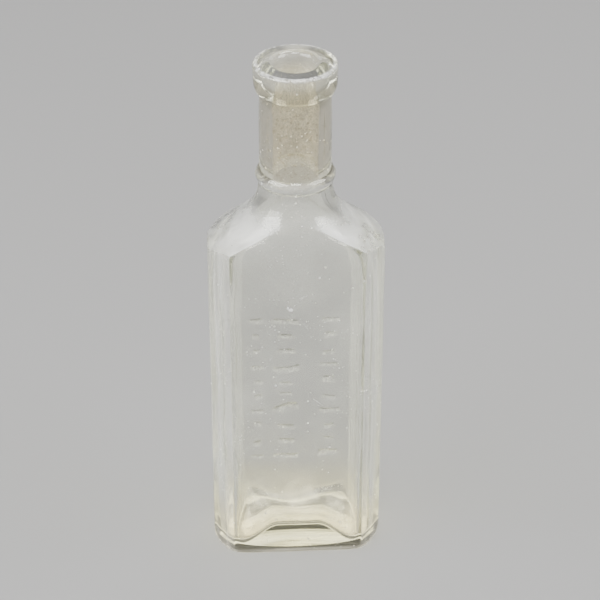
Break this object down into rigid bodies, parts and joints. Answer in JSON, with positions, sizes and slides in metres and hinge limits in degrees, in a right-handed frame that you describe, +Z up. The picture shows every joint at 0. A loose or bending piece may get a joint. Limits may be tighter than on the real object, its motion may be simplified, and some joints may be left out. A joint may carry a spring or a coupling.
{
  "type": "medicine bottle",
  "caption": "Clear glass medicine bottle with bevelled corners, domed shoulder, ringed round neck and cork-finish lip, open and empty.",
  "frame": {"origin": "centre of the base, at the surface that the bottle stands on", "axes": "+Z up along the neck; +X along the width; +Y towards the wide panel with the raised dose marks, so the plain wide panel faces -Y"},
  "size_m": [0.048, 0.0244, 0.152],
  "materials": {
    "clear_glass": "glossy old moulded glass, faintly olive, with seed bubbles and light haze"
  },
  "bodies": {
    "root": {"glass_bottle": "clear_glass"}
  },
  "joints": []
}
